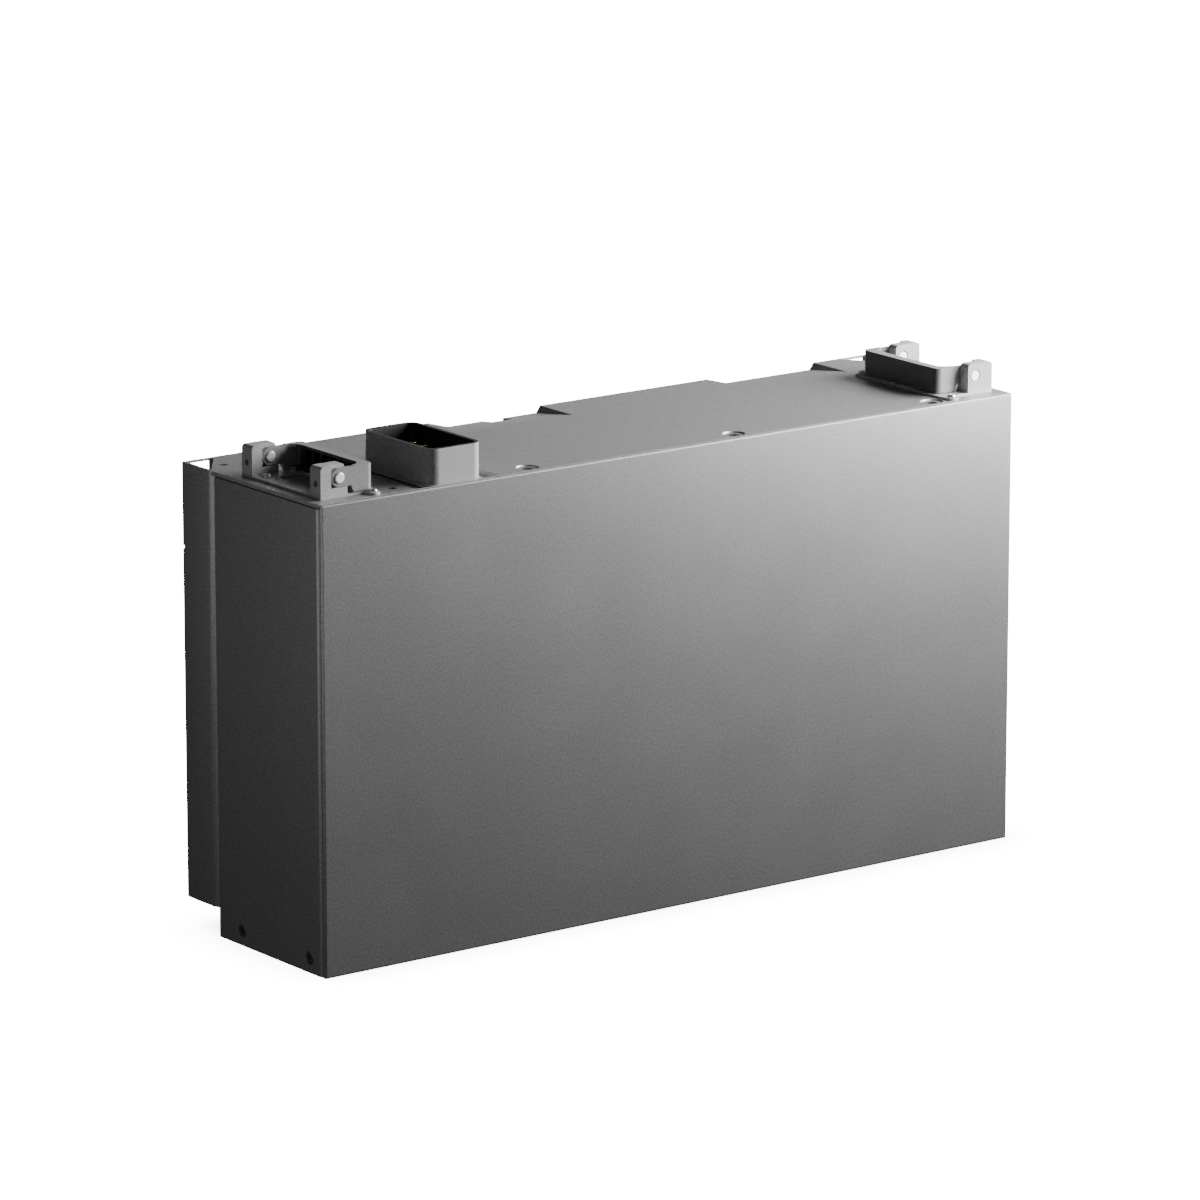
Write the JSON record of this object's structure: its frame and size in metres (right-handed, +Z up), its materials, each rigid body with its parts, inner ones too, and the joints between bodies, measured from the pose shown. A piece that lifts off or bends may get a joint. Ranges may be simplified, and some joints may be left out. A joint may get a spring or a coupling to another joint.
{
  "type": "home battery module",
  "caption": "Stackable home battery module: a slim metal case with folding carry handles in ear brackets, a shrouded stacking connector, and a shallower rear block with wall hook pockets.",
  "frame": {"origin": "on the floor plane under the middle of the case, at the skirt's lower edge", "axes": "+X to the right seen from the front, -Y out of the front cover, +Z up"},
  "size_m": [0.68, 0.1914, 0.402],
  "materials": {
    "cover_paint": "fine textured powder coat",
    "case_paint": "fine textured powder coat",
    "top_paint": "fine textured powder coat",
    "steel": "plain",
    "seal_rubber": "matte",
    "shroud_plastic": "glossy",
    "bracket_casting": "black coated casting",
    "handle_plastic": "satin",
    "copper": "plain",
    "contact_gold": "plated",
    "cell_case": "film wrapped",
    "plate_aluminium": "satin",
    "white_plastic": "matte",
    "board_green": "satin",
    "black_plastic": "matte"
  },
  "bodies": {
    "case": {"front_cover": "cover_paint", "front_seal": "seal_rubber", "case_shell": "case_paint", "base_tray": "steel", "stack_bars": "steel", "top_plate": "top_paint", "top_seal": "seal_rubber", "rear_housing": "case_paint", "rear_seal": "seal_rubber", "connector_shroud": "shroud_plastic", "connector_seal": "seal_rubber", "power_contacts": "contact_gold", "signal_contacts": "contact_gold", "stack_plug": "black_plastic", "plug_contacts": "contact_gold", "left_bracket": "bracket_casting", "right_bracket": "bracket_casting", "left_hinge_pins": "steel", "right_hinge_pins": "steel", "left_bracket_screws": "steel", "right_bracket_screws": "steel", "top_screws": "steel", "lock_screws": "steel", "rear_screws": "steel", "thermal_pad": "white_plastic", "cell_pads": "white_plastic", "left_end_plate": "plate_aluminium", "right_end_plate": "plate_aluminium", "compression_bands": "steel", "busbar_tray": "white_plastic", "busbars": "copper", "electronics_deck": "plate_aluminium", "bms_board": "board_green", "contactor": "black_plastic", "main_fuse": "white_plastic", "current_shunt": "copper", "power_links": "copper", "through_leads": "copper", "converter_board": "board_green", "inductors": "copper", "capacitors": "black_plastic", "heat_sink": "plate_aluminium", "cell_1": "cell_case", "cell_2": "cell_case", "cell_3": "cell_case", "cell_4": "cell_case", "cell_5": "cell_case", "cell_6": "cell_case", "cell_7": "cell_case", "cell_8": "cell_case", "cell_9": "cell_case", "cell_10": "cell_case", "cell_11": "cell_case", "cell_12": "cell_case", "cell_13": "cell_case", "cell_14": "cell_case", "cell_15": "cell_case", "cell_16": "cell_case"},
    "left_handle": {"left_handle": "handle_plastic"},
    "right_handle": {"right_handle": "handle_plastic"}
  },
  "joints": [
    {"name": "left_handle_fold", "type": "hinge", "parent": "case", "child": "left_handle", "pos_m": [-0.313, -0.02725, 0.3895], "axis": [0, -1, 0], "range_deg": [0, 90]},
    {"name": "right_handle_fold", "type": "hinge", "parent": "case", "child": "right_handle", "pos_m": [0.313, -0.02725, 0.3895], "axis": [0, 1, 0], "range_deg": [0, 90]}
  ]
}
